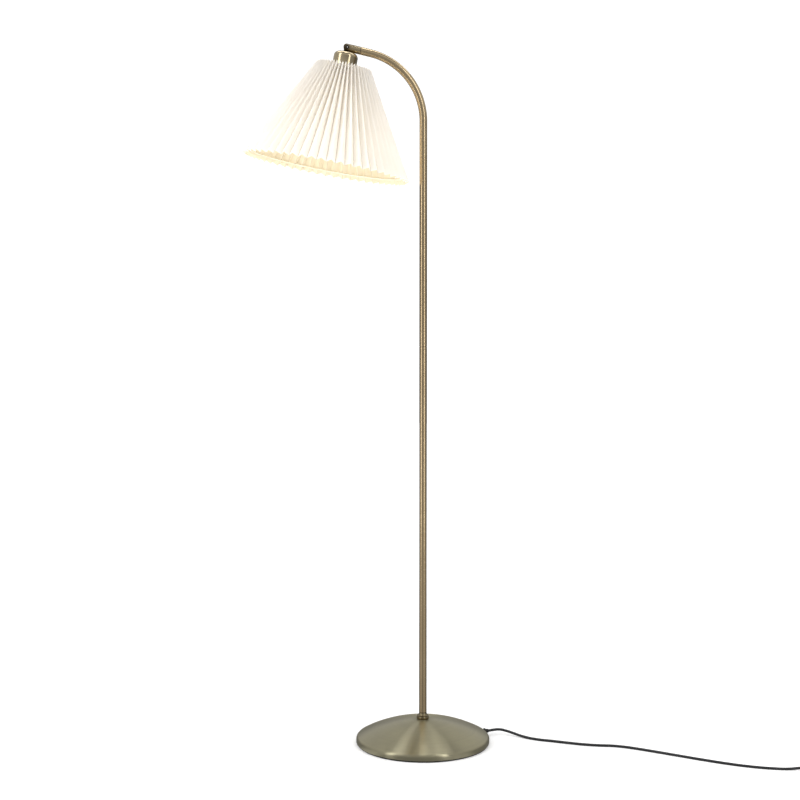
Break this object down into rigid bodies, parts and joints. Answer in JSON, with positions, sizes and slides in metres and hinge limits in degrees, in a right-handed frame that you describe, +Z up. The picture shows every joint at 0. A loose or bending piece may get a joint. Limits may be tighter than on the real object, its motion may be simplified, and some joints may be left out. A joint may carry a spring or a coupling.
{
  "type": "arc floor lamp",
  "caption": "Floor lamp with a round weighted base, a sectional stem, an arc tube and a pleated cone shade that tilts on a knuckle.",
  "frame": {"origin": "on the floor, at the middle of the base's underside, on the stem's axis", "axes": "+Z up; the arc and the shade reach toward -X; the mains lead leaves the base on the +X side"},
  "size_m": [1.3128, 0.4486, 1.4542],
  "materials": {
    "antique_brass": "brushed, lacquered antique brass",
    "bright_brass": "turned bright brass",
    "cast_iron": "rough cast",
    "zinc_steel": "zinc plated",
    "black_plastic": "satin moulded",
    "black_rubber": "matte",
    "white_plastic": "moulded, slightly glossy",
    "pleated_fabric": "off-white pleated cotton, lightly stiffened",
    "white_wire": "white powder coat",
    "frosted_glass": "inside frosted"
  },
  "bodies": {
    "stand": {"base_pad": "black_rubber", "base_weight": "cast_iron", "base_cover": "antique_brass", "base_spacer": "zinc_steel", "base_stud": "zinc_steel", "base_washer": "zinc_steel", "base_nut": "zinc_steel", "cord_clamp": "zinc_steel", "clamp_screw_left": "zinc_steel", "clamp_screw_right": "zinc_steel", "cord_gland": "black_rubber", "stem_collar": "antique_brass", "stem_foot": "antique_brass", "stem_lower": "antique_brass", "stem_coupler_lower": "zinc_steel", "stem_middle": "antique_brass", "stem_coupler_middle": "zinc_steel", "stem_upper": "antique_brass", "stem_coupler_upper": "zinc_steel", "arc_tube": "antique_brass", "knuckle_sleeve": "antique_brass", "knuckle_screw": "zinc_steel", "knuckle_nut": "zinc_steel", "knuckle_washer_front": "white_plastic", "knuckle_washer_back": "white_plastic", "arm_nipple": "zinc_steel", "arm_end_plug": "zinc_steel", "lead_in_base": "black_plastic", "lead_in_stem": "black_plastic", "lead_in_arc": "black_plastic", "lead_run": "black_plastic", "lead_link": "black_plastic", "lead_coil": "black_plastic", "lead_tail": "black_plastic", "switch_base": "black_plastic", "switch_cover": "black_plastic", "switch_mechanism": "white_plastic", "switch_screw_1": "zinc_steel", "switch_screw_2": "zinc_steel", "plug_body": "black_plastic", "plug_pin_left": "zinc_steel", "plug_pin_right": "zinc_steel"},
    "head": {"knuckle_tongue": "bright_brass", "cup": "antique_brass", "cup_locknut": "zinc_steel", "lampholder_cap": "white_plastic", "lampholder_body": "white_plastic", "lampholder_insulator": "white_plastic", "lampholder_contact": "bright_brass", "lampholder_shell": "bright_brass", "shade_ring_upper": "white_plastic", "shade_ring_lower": "white_plastic", "bulb_cap": "zinc_steel", "bulb_glass": "frosted_glass", "shade_spider": "white_wire", "shade_bottom_ring": "white_wire", "shade": "pleated_fabric"},
    "button": {"switch_button": "black_plastic"}
  },
  "joints": [
    {"name": "head_tilt", "type": "hinge", "parent": "stand", "child": "head", "pos_m": [-0.15552, 0, 1.44628], "axis": [0, 1, 0], "range_deg": [-2, 75]},
    {"name": "foot_switch", "type": "slide", "parent": "stand", "child": "button", "axis": [0, 0, -1], "range_m": [0, 0.003], "stiffness_N_per_m": 400}
  ]
}
